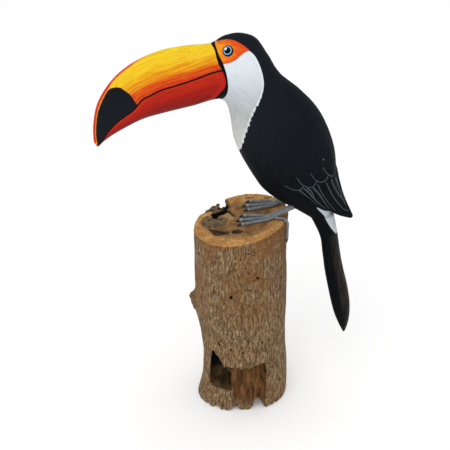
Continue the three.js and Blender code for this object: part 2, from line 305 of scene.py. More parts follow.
def cut(mesh, cutters, way="DIFFERENCE"):
    """The mesh less each cutter, or its part inside each with way INTERSECT."""
    for cutter in cutters:
        tool = show("tool", settle(cutter))
        mesh = worked(mesh, "BOOLEAN", operation=way, object=tool, solver="EXACT")
        bpy.data.objects.remove(tool)
    return mesh


def fused(meshes, square, smoothing):
    """One closed even mesh round all the meshes, in squares of the given size, smoothed."""
    whole = bmesh.new()
    for mesh in meshes:
        whole.from_mesh(mesh)
    even = worked(settle(whole), "REMESH", mode="VOXEL", voxel_size=square)
    shape = bmesh.new()
    shape.from_mesh(even)
    for _ in range(smoothing):
        bmesh.ops.smooth_vert(
            shape, verts=shape.verts, factor=0.5, use_axis_x=True, use_axis_y=True, use_axis_z=True
        )
    return settle(shape)


def read(rows, field):
    """One field of a mesh's rows, three numbers for each."""
    found = np.empty(len(rows) * 3)
    rows.foreach_get(field, found)
    return found.reshape(-1, 3)


def places_of(mesh):
    return read(mesh.vertices, "co")


def facings_of(mesh):
    return read(mesh.vertex_normals, "vector")


def flat_of(places):
    """The places as seen from the side, as x and z."""
    return np.ascontiguousarray(places[:, [0, 2]])


def move_to(mesh, places):
    mesh.vertices.foreach_set("co", places.ravel())
    mesh.update()


def mark(mesh, **rows):
    """Keeps a number, or three, for each point of the mesh, for its paint to read by name."""
    for name, values in rows.items():
        kind, field = ("FLOAT", "value") if values.ndim == 1 else ("FLOAT_VECTOR", "vector")
        mesh.attributes.new(name, kind, "POINT").data.foreach_set(field, values.astype(np.float32).ravel())


def rough(places, size_x, size_y, size_z):
    """Smooth random numbers from -1 to 1 over the places, in lumps of the given size."""
    return np.array([noise.noise((x / size_x, y / size_y, z / size_z)) for x, y, z in places])


def finished(name, mesh, material, nodes):
    """Takes a mesh from millimetres to metres and puts it in the scene in place of the plain nodes."""
    mesh.transform(Matrix.Scale(0.001, 4))
    mesh.materials.clear()
    mesh.materials.append(material)
    mesh.shade_smooth()
    mesh.name = name
    piece = show(name, mesh)
    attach(piece, "root")
    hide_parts(*nodes)
    return piece


def line_distance(places, line, closed=False):
    """How far flat places are from a line, and how far along it they lie.

    The distance is positive inside a closed line, or on the left of an open one.
    """
    line = np.array(line, float)
    starts, ends = (line, np.roll(line, -1, axis=0)) if closed else (line[:-1], line[1:])
    nearest = np.full(len(places), 1e9)
    side = np.ones(len(places))
    along = np.zeros(len(places))
    inside = np.zeros(len(places), bool)
    travelled = 0.0
    for start, end in zip(starts, ends):
        run = end - start
        offset = places - start
        share = np.clip(offset @ run / (run @ run), 0, 1)
        gap = np.linalg.norm(offset - share[:, None] * run, axis=1)
        closer = gap < nearest
        nearest[closer] = gap[closer]
        side[closer] = np.where(run[0] * offset[:, 1] - run[1] * offset[:, 0] >= 0, 1, -1)[closer]
        along[closer] = travelled + share[closer] * np.linalg.norm(run)
        if run[1]:
            level = (start[1] > places[:, 1]) != (end[1] > places[:, 1])
            inside ^= level & (offset[:, 0] < run[0] * offset[:, 1] / run[1])
        travelled += np.linalg.norm(run)
    return nearest * (np.where(inside, 1, -1) if closed else side), along


def depth_in(flat_places, outline, count=0):
    """How far flat places lie inside an outline, which is made smooth through count places if given."""
    line = curve_through(outline, count, closed=True) if count else outline
    return line_distance(flat_places, line, closed=True)[0]


def climb(value, low, high):
    """0 at low and before it, 1 at high and past it, and straight between."""
    return np.clip((value - low) / (high - low), 0, 1)


def hump(value, middle, width):
    """1 at the middle, falling away smoothly on both sides."""
    return np.exp(-(((value - middle) / width) ** 2))


def log_body(inset, taper, rings=60, sides=120):
    """The log's round body, thinner by inset at the foot and by inset + taper at the top."""
    shape = bmesh.new()
    lean = curve_through([(x, r) for x, r in zip(LOG_LEAN, LOG_GIRTH)], rings)
    loops = []
    for i, (middle, girth) in enumerate(lean):
        level = i / (rings - 1)

        def place(x, y):
            front_left = max(0, -0.8 * x - 0.6 * y)
            spread = FLARE * front_left**3 * max(0, 1 - level * LOG_HEIGHT / FLARE_HEIGHT)
            radius = girth + spread - inset - taper * level
            return (middle + radius * x, radius * y, level * top_height(middle + radius * x, radius * y))

        loops.append(ring(shape, sides, place))
    rim = loops[-1]
    bridge(shape, loops)
    if not inset:
        bmesh.ops.bevel(
            shape, geom=rim, offset=RIM_ROUNDING, segments=3, profile=0.5, affect="EDGES", material=-1
        )
    return shape


recess = bmesh.new()
recess.from_mesh(cut(settle(slab(ROT_WINDOW, -90, -30)), [log_body(RECESS_INSET, RECESS_TAPER)]))
log_cutters = [
    recess,
    slab(DEEP_HOLE, -90, -25),
    slab(FOOT_SPLIT, -80, -15),
    *[peg((x, -70, 0), (x, -42, 0), radius, 2) for x, radius in FOOT_NOTCHES],
    well(ROT_HOLLOW, HOLLOW_DEPTH),
    *[well(stain, STAIN_DEPTH) for stain in ROT_STAINS],
    well(RIM_BREAK, BREAK_DEPTH),
    well(BREAK_FLOOR, DEEPEST),
    well(CREVICE, CREVICE_DEPTH),
]
BORE_START, BORE_END, BORE_FALL = 70, 48, 0.15  # from the log's middle, and the slope of each worm hole
bores = []
for turn, height, width in WORM_HOLES:
    way = Vector((math.cos(math.radians(turn)), math.sin(math.radians(turn)), -BORE_FALL))
    axis = Vector((0, 0, height + BORE_FALL * LOG_GIRTH[0]))
    bores.append((axis + way * BORE_START, axis + way * BORE_END, width * 0.62))
    log_cutters.append(peg(*bores[-1]))

log_mesh = fused([cut(settle(log_body(0, 0)), log_cutters)], LOG_GRAIN, 1)

places = places_of(log_mesh)
facings = facings_of(log_mesh)
x, y, z = places.T
level = np.clip(z / top_height(x, y), 0, 1)
steps = np.linspace(0, 1, len(LOG_GIRTH))
middle = np.interp(level, steps, LOG_LEAN)
inward = np.interp(level, steps, LOG_GIRTH) - np.hypot(x - middle, y)  # depth under the side
below = top_height(x, y) - z  # depth under the saw cut
plan = places[:, :2]
near_cut = z > CUT_ZONE
flat = climb(facings[:, 2], 0.75, 0.9) * (z > TOP_HALF)
in_rot = climb(inward, 2, 5) * (1 - flat) * (z < ROT_HEIGHT) * (y < -5)
on_side = (1 - flat) * (1 - in_rot)

fibre = rough(places, 2.6, 2.6, 34) + 0.6 * rough(places + 40, 1.5, 1.5, 14)
swell = rough(places, 30, 30, 70)
pocket = np.clip(rough(places + 90, 4, 4, 11) - 0.35, 0, 1)
from_bore = np.full(len(places), 9.0)  # how far outside the nearest worm hole
for start, end, radius in bores:
    run = np.array((end - start).normalized())
    offset = places - np.array(start)
    inwards = offset @ run
    gap = np.linalg.norm(offset - np.outer(inwards, run), axis=1) - radius
    from_bore = np.where((inwards > 0) & (inwards < 30), np.minimum(from_bore, gap), from_bore)
push = on_side * (FIBRE_HEIGHT * fibre + SWELL_HEIGHT * swell - POCKET_DEPTH * pocket)
folds = rough(places * [1, 0.4, 1] + 7, 4.2, 14, 60) + 0.5 * fibre
push += in_rot * (FOLD_HEIGHT + 1.6 * climb(inward, 11, 17)) * folds
push += flat * (0.12 * rough(places, 3, 3, 3))
push[z < 2] = np.minimum(push[z < 2], 0)
places += facings * push[:, None]
# the knot at the left: steep above, drawn out below
knot = hump(z, KNOT_Z, np.where(z > KNOT_Z, KNOT_ABOVE, KNOT_BELOW)) * hump(y, KNOT_Y, KNOT_HALF_WIDTH)
knot = np.minimum(1.3 * knot * (x < 0), 1)
places[:, 0] -= KNOT_PROUD * knot * (0.9 + 0.35 * rough(places, 5, 5, 7))
# the foot is flat on the floor, and its edge is ragged at the front
ragged = np.clip(rough(places + 3, 7, 7, 30) + 0.15, 0, 1) * 5 * climb(-y, 15, 40)
places[:, 2] += ragged * climb(z, 9, 0)
# cracks and the rot's torn floor in the top
crack = np.zeros(len(places))
for line in TOP_CRACKS:
    crack = np.maximum(crack, climb(np.abs(line_distance(plan, line)[0]), 2, 0.4))
crack *= (below < 9) & near_cut
places[:, 2] -= crack * (CRACK_DEPTH + rough(places, 6, 6, 6))
hollowed = climb(below, 0.6, 1.5) * climb(below, 18, 15) * near_cut
broken = depth_in(plan, RIM_BREAK)
on_cut = (below < 4) & near_cut
hollowed *= (inward > 3) | (broken > -1.5)
lumps = np.maximum(rough(places, 6, 2.6, 9) + 0.6 * rough(places + 9, 2.4, 1.6, 4), -0.45)
places[:, 2] -= hollowed * (1.3 + 1.4 * climb(broken, -1, 0)) * lumps
places[:, 0] += hollowed * climb(broken, -2, -1) * 1.6 * rough(places + 5, 4, 4, 4)
places[:, 2] = np.maximum(places[:, 2], 0)
move_to(log_mesh, places)

# Painted shadow under the overhanging top of the rot's opening.
gloom = climb(z - 0.5 * x, 58, 68) * climb(inward, 3, 7) * climb(x, -12, -18)
stain_gap = np.max([depth_in(plan, stain) for stain in ROT_STAINS], axis=0)
stained = climb(stain_gap, -0.8, 0.4) * on_cut * (0.72 + 0.25 * rough(places, 4, 3, 4))
# Painted shade: inside the saw cut's wells the wood turns dark with depth, starting at a smaller depth in the
# crevice.
well_shade_from = np.where(depth_in(plan, CREVICE) > -1.5, 1.2, 5)
well_shade = climb(below, well_shade_from, well_shade_from + 2.5) * (inward > 4) * near_cut * (below < 20)
# Painted shade over the deep hole in the rot's opening.
deep = climb(depth_in(flat_of(places), DEEP_HOLE), -4, -2) * climb(x, -5, -8)
# The crack mark holds the top's cracks, the real rot stains and the painted shade deep in the wells.
mark(
    log_mesh, cut=np.maximum(flat, hollowed), rim=inward, knot=knot, bore=from_bore,
    hollow=np.maximum(hollowed, crack), crack=np.maximum.reduce([crack, well_shade, stained]),
    splinter=depth_in(plan, PALE_SPLINTER), rot=in_rot, deep=deep * in_rot, gloom=gloom * in_rot,
)


def new_group(name, inputs, outputs):
    """A node group with its inputs and outputs, and the two nodes that stand for them inside."""
    group = bpy.data.node_groups.new(name, "ShaderNodeTree")
    for way, sockets in (("INPUT", inputs), ("OUTPUT", outputs)):
        for title, kind in sockets:
            group.interface.new_socket(title, in_out=way, socket_type="NodeSocket" + kind)
    return group, group.nodes.new("NodeGroupInput").outputs, group.nodes.new("NodeGroupOutput").inputs


def sums(tree, operation, *values):
    """The result of one sum on numbers."""
    return node(tree, "Math", dict(enumerate(values)), operation=operation).outputs[0]


def times(tree, *values):
    return sums(tree, "MULTIPLY", *values)


def plus(tree, *values):
    return sums(tree, "ADD", *values)


def swing(tree, mask, size):
    """A mask from 0 to 1 made to run from -size / 2 to size / 2."""
    return times(tree, sums(tree, "SUBTRACT", mask, 0.5), size)


def step_up(tree, value, low, high):
    """0 below low, 1 above high, and a smooth rise between."""
    inputs = {"Value": value, "From Min": low, "From Max": high}
    return node(tree, "MapRange", inputs, interpolation_type="SMOOTHSTEP").outputs["Result"]


def between(tree, share, low, high):
    """A number that runs from low to high as share goes from 0 to 1."""
    return node(tree, "MapRange", {"Value": share, "To Min": low, "To Max": high}).outputs["Result"]


def over(tree, amount, under, top, strength=1.0):
    """One colour laid over another by amount, times strength."""
    if strength != 1:
        amount = times(tree, amount, strength)
    mixed = node(tree, "Mix", {0: amount, 6: under, 7: top}, data_type="RGBA")  # its colours are 6 and 7
    return mixed.outputs[2]


def ramp(tree, amount, *stops):
    """A colour that runs through the stops, each a place from 0 to 1 and a paint's red, green and blue."""
    made = node(tree, "ValToRGB", {"Fac": amount})
    for i, (place, *mix) in enumerate(stops):
        stop = made.color_ramp.elements[i] if i < 2 else made.color_ramp.elements.new(place)
        stop.position = place
        stop.color = paint(*mix)
    return made.outputs["Color"]


def kept(tree, name, output="Fac"):
    """What the mesh keeps under a name."""
    return node(tree, "Attribute", attribute_name=name).outputs[output]


# long streaks along z, such as wood's fibres or a brush's marks
streaks, given, gives = new_group(
    "long_streaks", [("Place", "Vector"), ("Fineness", "Float"), ("Stretch", "Float")], [("Streaks", "Float")]
)
length_scale = sums(streaks, "DIVIDE", given["Fineness"], given["Stretch"])
scales = node(streaks, "CombineXYZ", {
    "X": given["Fineness"], "Y": given["Fineness"], "Z": length_scale,
}).outputs[0]
stretched = node(streaks, "VectorMath", {0: given["Place"], 1: scales}, operation="MULTIPLY").outputs[0]
streak_noise = node(streaks, "TexNoise", {
    "Vector": stretched, "Scale": 1.0, "Detail": 5.0, "Roughness": 0.62, "Distortion": 0.5,
}).outputs["Fac"]
contrast = step_up(streaks, streak_noise, 0.28, 0.72)
streaks.links.new(contrast, gives["Streaks"])


def streaked(tree, place, fineness, stretch):
    inputs = {"Place": place, "Fineness": fineness, "Stretch": stretch}
    return node(tree, "Group", inputs, node_tree=streaks).outputs["Streaks"]


def spotted(tree, place, scale, detail=3.0):
    return node(tree, "TexNoise", {"Vector": place, "Scale": scale, "Detail": detail}).outputs["Fac"]


def surface(tree, shader, colour, relief, strength, depth):
    """Gives a shader its colour, and fine relief up to depth from a height."""
    tree.links.new(colour, shader.inputs["Base Color"])
    bump = node(tree, "Bump", {"Height": relief, "Strength": strength, "Distance": depth})
    tree.links.new(bump.outputs["Normal"], shader.inputs["Normal"])


log_material, tree, shader = new_material("weathered_wood", 0.85, 0.15)
place = node(tree, "TexCoord").outputs["Object"]
fibres = streaked(tree, place, 460, 4.5)
fine_fibres = streaked(tree, place, 1000, 4)
patches = spotted(tree, place, 22)
side = ramp(tree, fibres, (0, 74, 55, 34), (1, 190, 164, 126), (0.4, 134, 107, 75))
stain_height = step_up(tree, node(tree, "SeparateXYZ", {0: place}).outputs["Z"], 0.12, 0.2)
stains = times(tree, step_up(tree, patches, 0.4, 0.65), plus(tree, stain_height, 0.3))
side = over(tree, stains, side, paint(146, 94, 46), 0.55)
side = over(tree, step_up(tree, fine_fibres, 0.45, 0.1), side, paint(72, 52, 33), 0.75)
flecks = step_up(tree, streaked(tree, place, 600, 2.6), 0.34, 0.08)
side = over(tree, flecks, side, paint(52, 36, 23), 0.85)
cut_rings = node(tree, "TexWave", {
    "Vector": place, "Scale": 75.0, "Distortion": 6.0, "Detail": 3.0, "Detail Scale": 1.2,
}, wave_type="RINGS", rings_direction="Z").outputs["Fac"]
heart = ramp(tree, spotted(tree, place, 120, 6.0), (0.3, 118, 80, 44), (0.7, 188, 144, 92))
heart = over(tree, cut_rings, heart, paint(120, 76, 38), 0.22)
sapwood_spots = spotted(tree, place, 300, 6.0)
sapwood = ramp(tree, sapwood_spots, (0.32, 190, 132, 68), (0.68, 246, 196, 124))
browned = step_up(tree, spotted(tree, place, 52, 6.0), 0.42, 0.62)
sapwood = over(tree, browned, sapwood, paint(168, 108, 54), 0.5)
wander = swing(tree, spotted(tree, place, 45, 5.0), 22.0)
pale = step_up(tree, plus(tree, kept(tree, "rim"), wander), SAPWOOD + 5, SAPWOOD - 6)
top = over(tree, pale, heart, sapwood)
top = over(tree, step_up(tree, kept(tree, "splinter"), -0.6, 0.6), top, paint(206, 170, 122), 0.6)
hollow = ramp(tree, spotted(tree, place, 170, 6.0), (0.3, 70, 55, 42), (0.7, 160, 136, 104))
top = over(tree, kept(tree, "hollow"), top, hollow)
# Painted shade: near-black in the top's cracks and deep in its wells, laid in one mark with the real dark rot
# stains.
top = over(tree, step_up(tree, kept(tree, "crack"), 0.1, 1.0), top, paint(26, 18, 13))
ragged_edge = plus(tree, kept(tree, "cut"), times(tree, spotted(tree, place, 350), 0.5))
colour = over(tree, step_up(tree, ragged_edge, 0.6, 1.0), side, top)
curtain = ramp(tree, streaked(tree, place, 150, 6), (0.1, 64, 41, 22), (0.9, 138, 95, 52))
# Painted shade in the rot's opening: darker olive over the deep hole, and near-black shadow under its
# overhang and deep inside the log.
shaded_olive = over(tree, fibres, paint(50, 38, 23), paint(98, 77, 47))
rot_with_shade = over(tree, kept(tree, "deep"), curtain, shaded_olive)
rot_with_shade = over(tree, kept(tree, "gloom"), rot_with_shade, paint(12, 9, 7))
rot_with_shade = over(tree, step_up(tree, kept(tree, "rim"), 20, 30), rot_with_shade, paint(14, 10, 9))
colour = over(tree, kept(tree, "rot"), colour, rot_with_shade)
colour = over(tree, kept(tree, "knot"), colour, paint(58, 42, 26), 0.45)
# Painted shade: near-black in and round each worm hole.
colour = over(tree, step_up(tree, kept(tree, "bore"), 0.6, -0.1), colour, paint(14, 9, 7))
relief = plus(tree, fibres, times(tree, fine_fibres, 0.6))
surface(tree, shader, colour, relief, 0.75, 0.0014)

finished("log_weathered", log_mesh, log_material, ["log"])

# ---------------------------------------------------------------- the carving
# The bird's head, neck, trunk, wings and tail are one glued block of pale wood. The wings' edges and the
# tail's feathers are cut into it, and it is painted by hand in matt black, white and orange.
BIRD_Y = 12  # its middle plane
CARVING = (  # sections from the bill's tip to the vent: top x, top z, low x, low z, half width
    (-195, 353.5, -189.5, 345, 3.2), (-194.5, 374, -182.5, 352.5, 5.5), (-187.5, 405, -171, 362, 9.5),
    (-166.5, 438, -152, 374.5, 13.5), (-138.5, 461.7, -129, 387.5, 16.5), (-105, 478, -103, 397, 18.5),
    (-72, 485.8, -66, 408.5, 19.5), (-42, 490.3, -30, 420, 20.5), (-27, 499.8, -22.5, 416, 23.5),
    (-8, 504.5, -19.5, 409.5, 26), (12, 499.8, -18, 402, 27), (28, 479, -16.5, 393, 27.5),
    (43, 456, -15, 381, 29), (66.5, 437.3, -11.2, 365, 34), (89.5, 414.3, -3.5, 348, 38.5),
    (105.3, 386.5, 9, 326.5, 40.5), (115, 356, 24, 305, 39), (117.3, 325.5, 44.5, 289.5, 33.5),
    (114.5, 295, 67, 278, 25), (113, 268, 90, 265, 16),
)
TAIL = (
    (116.5, 272, 86.5, 269.5, 18.5), (123, 241, 100.3, 241, 17.5), (127, 217, 104.3, 217, 17.5),
    (132.7, 190, 108.6, 190, 18.5), (139.7, 162, 115, 160, 19), (144, 136, 122.2, 131, 18),
    (143.5, 113, 130.3, 110, 13), (139.3, 97.5, 137, 96, 5),
)
WING_ENDS = (
    (107, 356, 50, 326, 30), (118, 334, 72, 308, 34), (122.5, 316, 87, 297, 30),
    (128.5, 297, 105, 281, 20), (134.5, 283.5, 121, 271.5, 12.5), (142.5, 268.5, 138.5, 266, 4),
)
WING_OUTLINE = (  # in the side view, as x and z
    (55, 455), (29, 424), (19, 392), (19, 360), (29, 336), (57, 320), (88, 303.5), (103, 285.5),
    (113, 278.5), (121, 270.5), (132, 265.5), (150, 258), (150, 300), (130, 370), (97, 430),
)
WING_STEP = 1  # how proud the wings stand
WING_TIP_Z, MANTLE_LEAN = 267, 0.14  # the wings meet at their tips and part over the back
SKIN_GRAIN = 1.2
BILL_START = 6  # the section where the head's block begins, inside the bill
BILL_BASE = (  # where the bill joins the head, under the black band
    (-47, 512), (-40, 496), (-34.5, 488), (-30, 479.5), (-26, 472), (-22, 464), (-19.5, 456),
    (-18.3, 448.5), (-19.3, 441), (-23.3, 433), (-28, 426), (-34, 417), (-42, 405),
)
BAND_BACK = (
    (-42, 503), (-36, 493), (-33, 489), (-29, 482), (-24, 474), (-19, 461), (-17, 449), (-17, 440.5),
    (-19.5, 432), (-24, 425.5), (-30, 420), (-40, 414),
)
FACE = (
    (-45, 486), (-36.5, 493.5), (-33, 495), (-25, 498), (-17.5, 499.3), (-9.5, 498.5), (-2, 495.6),
    (4, 492), (7.5, 489), (3, 487), (-2.5, 482.8), (-6.7, 479), (-12.5, 475.4), (-22, 472.2), (-30, 470),
    (-42, 474),
)
BIB = (
    (-8, 486), (3, 488), (7, 488.6), (14, 483), (19, 474.5), (23, 465), (25.5, 456), (26.5, 448),
    (25.5, 439), (23, 431), (18.5, 421), (13.5, 410), (9, 396), (4, 380), (-2.5, 360), (-10, 352),
    (-40, 350), (-60, 400), (-60, 450), (-40, 470),
)
RUMP = (
    (96, 289), (106, 281.5), (113, 277), (119, 269), (128, 262), (131, 249), (124, 243.5), (118, 252),
    (111.5, 263), (104, 277),
)
FEATHER_LINES = (  # painted along each feather's edge: its width at each end, then its points
    (1.0, 1.1, (56, 323), (63, 319.6), (70.5, 317.4), (76.3, 318.6), (80, 324.5)),
    (0.7, 1.2, (70.8, 336), (76, 328), (80.5, 323.7), (86, 321.7), (91, 322), (93.5, 325.5), (95, 330)),
    (0.7, 1.2, (87.7, 341.5), (93, 332), (97, 329), (101, 328), (104.7, 329),
     (107.5, 331.2), (109, 335.5)),
    (0.7, 1.1, (102.4, 346.2), (107, 338), (110.5, 334.4), (113.8, 332.2), (116, 332.5),
     (118, 336), (118.6, 343)),
    (1.5, 0.5, (74.5, 317.6), (81.5, 311), (87.2, 304.5), (93.7, 297), (99.5, 291)),
    (1.8, 0.5, (80, 320.5), (86.3, 313.4), (93.6, 303), (101, 293.3), (108.7, 284)),
    (1.9, 0.6, (84, 320.4), (88.4, 316.4), (93.6, 304)),
    (2.2, 0.5, (91, 320.6), (97, 314), (102.8, 304), (107.8, 293.7), (113, 284)),
    (1.1, 0.6, (96.5, 326), (101, 316), (107, 304), (113, 292.7), (120.3, 281.2)),
    (1.1, 0.6, (107, 327.5), (111, 318), (117, 304.2), (123.5, 292.7), (130, 283.2), (137.5, 277.3)),
    (1.1, 0.6, (113, 329.6), (117, 318.3), (123, 304.6), (128.8, 294), (132, 286)),
    (1.0, 0.6, (117.7, 328.5), (120.5, 319.4), (124.4, 308), (127, 298)),
)
TAIL_GROOVES = (0.55, 0.7, 0.83, 0.94)  # how far back across the tail each one lies
FACETS, BILL_TENON, WING_GROOVE, SEAM_DEPTH, TAIL_GROOVE = 0.16, 1.2, 1.0, 0.8, 0.9
GREY_SPOT = (0.1023, 0.3565)  # a small grey speck on the black paint, as x and z in metres


def loft(rows, around, along, power, grow=0.0):
    """A closed body through sections, each rounder or squarer by power, swollen by grow."""
    tops = curve_through([(x, half, z) for x, z, _, _, half in rows], along)
    lows = curve_through([(x, half, z) for _, _, x, z, half in rows], along)
    shape = bmesh.new()
    loops = []
    for top, low in zip(tops, lows):
        centre = (top + low) / 2
        up = (top - low) / 2
        swell = 1 + grow / math.hypot(up[0], up[2])

        def place(rise, out):
            rise, out = (math.copysign(abs(part) ** (2 / power), part) for part in (rise, out))
            x, z = centre[0] + up[0] * rise * swell, centre[2] + up[2] * rise * swell
            return (x, BIRD_Y + out * (top[1] + grow), z)

        loops.append(ring(shape, around, place))
    bridge(shape, loops)
    return shape


def wing_part(shape, side):
    """The part of a shape that lies inside one wing's outline, on that side of the middle."""
    outline = curve_through(WING_OUTLINE, 64, closed=True)
    trimmed = bmesh.new()
    trimmed.from_mesh(cut(settle(shape), [slab(outline, BIRD_Y - 80, BIRD_Y + 80)], "INTERSECT"))
    bmesh.ops.bisect_plane(
        trimmed, geom=trimmed.verts[:] + trimmed.edges[:] + trimmed.faces[:], dist=1e-5,
        plane_co=(0, BIRD_Y + side * 0.15, WING_TIP_Z), plane_no=(0, side, -MANTLE_LEAN), clear_inner=True,
    )
    bmesh.ops.holes_fill(trimmed, edges=[edge for edge in trimmed.edges if edge.is_boundary])
    bmesh.ops.recalc_face_normals(trimmed, faces=trimmed.faces)
    return settle(trimmed)


skin_parts = [
    settle(loft(CARVING[BILL_START:], 96, 150, 2.05)),
    settle(loft(TAIL, 72, 90, 2.6)),
]
for side in (-1, 1):
    skin_parts.append(wing_part(loft(CARVING[9:], 72, 90, 2.05, WING_STEP), side))
    skin_parts.append(wing_part(loft(WING_ENDS, 64, 50, 2.3), side))
skin = fused(skin_parts, SKIN_GRAIN, 3)

places = places_of(skin)
facings = facings_of(skin)
seen = flat_of(places)
x, y, z = places.T
outward = np.abs(y - BIRD_Y)
base_gap = line_distance(seen, curve_through(BILL_BASE, 60))[0]  # positive behind the joint
wing_gap = depth_in(seen, WING_OUTLINE, 90)
heights = [(row[1] + row[3]) / 2 for row in TAIL][::-1]
tail_front = np.interp(z, heights, [row[2] for row in TAIL][::-1])
tail_back = np.interp(z, heights, [row[0] for row in TAIL][::-1])
across = np.clip((x - tail_front) / np.maximum(tail_back - tail_front, 1), 0, 1)
on_tail = climb(z, 258, 244) * (x > 80)

push = FACETS * rough(places, 8, 8, 11)  # the knife's facets, mostly sanded away
push -= BILL_TENON * climb(base_gap, 0, -1.5)  # the head's block is slimmer inside the bill
push -= WING_GROOVE * hump(wing_gap, -1.3, 1.2) * climb(z, 372, 347) * (on_tail < 0.5)
seam = hump(outward, 0, 0.9) * climb(wing_gap, -1, 1) * (facings[:, 0] > 0)
push -= SEAM_DEPTH * seam * (z < 300)  # between the two wings' tips
for share in TAIL_GROOVES:
    from_groove = (across - share) * (tail_back - tail_front)
    fade = climb(z, 226, 186) * climb(z, 100, 120) * climb(outward, 0, 5)
    push -= TAIL_GROOVE * hump(from_groove, 0, 0.9) * on_tail * fade
places += facings * push[:, None]
move_to(skin, places)

rump = depth_in(seen, RUMP, 60)
mark(
    skin, face=depth_in(seen, FACE, 110), bib=depth_in(seen, BIB, 130), tail=across * on_tail,
    band=-line_distance(seen, curve_through(BAND_BACK, 70))[0],
    rump=np.where(wing_gap > -3, np.minimum(rump, -wing_gap - 0.5), rump),
    sideways=np.abs(facings[:, 1]) * climb(outward, 2, 7),  # ends the painted lines near the back
)
RUN_ON = 12  # how far each line is carried on past its ends, so that its two sides hold there
for i, (_, _, *points) in enumerate(FEATHER_LINES):
    line = curve_through(points, 8 * len(points))
    before, after = line[0] - line[1], line[-1] - line[-2]
    longer = np.vstack([line[0] + before * RUN_ON, line, line[-1] + after * RUN_ON])
    gap, along = line_distance(seen, longer)
    along -= np.linalg.norm(before) * RUN_ON
    length = np.linalg.norm(np.diff(line, axis=0), axis=1).sum()
    mark(skin, **{f"line_{i}": np.column_stack([gap, along / length, np.full(len(gap), length)])})

# a line drawn with a fine brush, its width changing from one end to the other
strokes, given, gives = new_group(
    "brushed_line",
    [("Line", "Vector"), ("Start Width", "Float"), ("End Width", "Float")],
    [("Line", "Float")],
)
parts = node(strokes, "SeparateXYZ", {0: given["Line"]}).outputs
width = between(strokes, parts["Y"], given["Start Width"], given["End Width"])
away_from = sums(strokes, "ABSOLUTE", parts["X"])
edge = sums(strokes, "SUBTRACT", times(strokes, width, 0.5), away_from)
body_of_line = step_up(strokes, edge, -0.25, 0.25)
from_start = step_up(strokes, parts["Y"], -0.03, 0.05)
to_end = step_up(strokes, parts["Y"], 1.02, 0.9)
both_ends = times(strokes, from_start, to_end)
strokes.links.new(times(strokes, body_of_line, both_ends), gives["Line"])


def edged(tree, distance):
    """1 where a kept distance is inside a painted edge."""
    return step_up(tree, distance, -0.3, 0.3)


skin_material, tree, shader = new_material("matt_hand_paint", 0.6, 0.04)
place = node(tree, "TexCoord").outputs["Object"]
spot = node(tree, "SeparateXYZ", {0: place}).outputs
marks = streaked(tree, place, 380, 7)
black = ramp(tree, spotted(tree, place, 9), (0.35, 17, 21, 25), (0.65, 25, 30, 37))
# Painted shade: the black is darker low on the body.
black = over(tree, step_up(tree, spot["Z"], 0.42, 0.3), black, paint(6, 9, 11))
black = over(tree, marks, black, paint(44, 50, 58), 0.12)
tail_grey = step_up(tree, kept(tree, "tail"), 0.5, 0.85)
tail_marks = times(tree, tail_grey, streaked(tree, place, 260, 22))
black = over(tree, tail_marks, black, paint(62, 56, 50), 0.7)

slanted = node(tree, "Mapping", {"Vector": place, "Rotation": (0, math.radians(50), 0)}).outputs[0]
brush = streaked(tree, slanted, 330, 8)
# Painted shade: the bib's white is greyest a third of the way up and lightest at the top.
white = ramp(
    tree, step_up(tree, spot["Z"], 0.36, 0.485),
    (0, 198, 199, 192), (1, 226, 234, 241),
    (0.35, 168, 174, 174), (0.7, 192, 200, 206),
)
white = over(tree, brush, white, paint(226, 231, 233), 0.25)
white = over(tree, step_up(tree, brush, 0.5, 0.1), white, paint(158, 164, 166), 0.1)
bib = kept(tree, "bib")
white = over(tree, step_up(tree, bib, 2.6, 1.0), white, paint(236, 241, 245), 0.6)
teeth = times(tree, swing(tree, brush, 3.2), step_up(tree, spot["Z"], 0.45, 0.42))
ragged_bib = plus(tree, bib, teeth)
colour = over(tree, edged(tree, ragged_bib), black, white)

face = kept(tree, "face")
warmth = plus(tree, spot["X"], swing(tree, brush, 0.02))
orange = ramp(
    tree, step_up(tree, warmth, -0.036, 0.004),
    (0, 248, 166, 36), (1, 226, 78, 30), (0.4, 243, 128, 30),
)
edge_red = times(tree, step_up(tree, face, 6, 0.5), step_up(tree, warmth, -0.044, -0.024))
orange = over(tree, edge_red, orange, paint(226, 68, 32), 0.85)
orange = over(tree, marks, orange, paint(226, 120, 40), 0.22)
colour = over(tree, edged(tree, face), colour, orange)
colour = over(tree, edged(tree, kept(tree, "band")), colour, paint(12, 15, 19))
pale_rump = over(tree, marks, paint(204, 213, 217), paint(168, 178, 182))
colour = over(tree, edged(tree, kept(tree, "rump")), colour, pale_rump)

lines = None
for i, (start_width, end_width, *_) in enumerate(FEATHER_LINES):
    line = node(tree, "Group", {
        "Line": kept(tree, f"line_{i}", "Vector"), "Start Width": start_width, "End Width": end_width,
    }, node_tree=strokes).outputs["Line"]
    lines = line if lines is None else sums(tree, "MAXIMUM", lines, line)
worn = times(tree, lines, between(tree, marks, 0.65, 1.0))
thin = times(tree, worn, step_up(tree, kept(tree, "sideways"), 0.06, 0.22))
colour = over(tree, thin, colour, paint(76, 91, 93))
# A small grey speck on the black paint.
grey_spot_place = node(tree, "CombineXYZ", {"X": GREY_SPOT[0], "Y": spot["Y"], "Z": GREY_SPOT[1]}).outputs[0]
from_grey_spot = node(tree, "VectorMath", {0: place, 1: grey_spot_place}, operation="DISTANCE").outputs["Value"]
colour = over(tree, step_up(tree, from_grey_spot, 0.0013, 0.0005), colour, paint(120, 128, 130), 0.6)
relief = sums(tree, "SUBTRACT", times(tree, marks, 0.5), lines)
surface(tree, shader, colour, relief, 0.35, 0.0004)
finished(
    "carved_body", skin, skin_material,
    ["head", "neck", "trunk", "wing_left", "wing_right", "tail"],
)

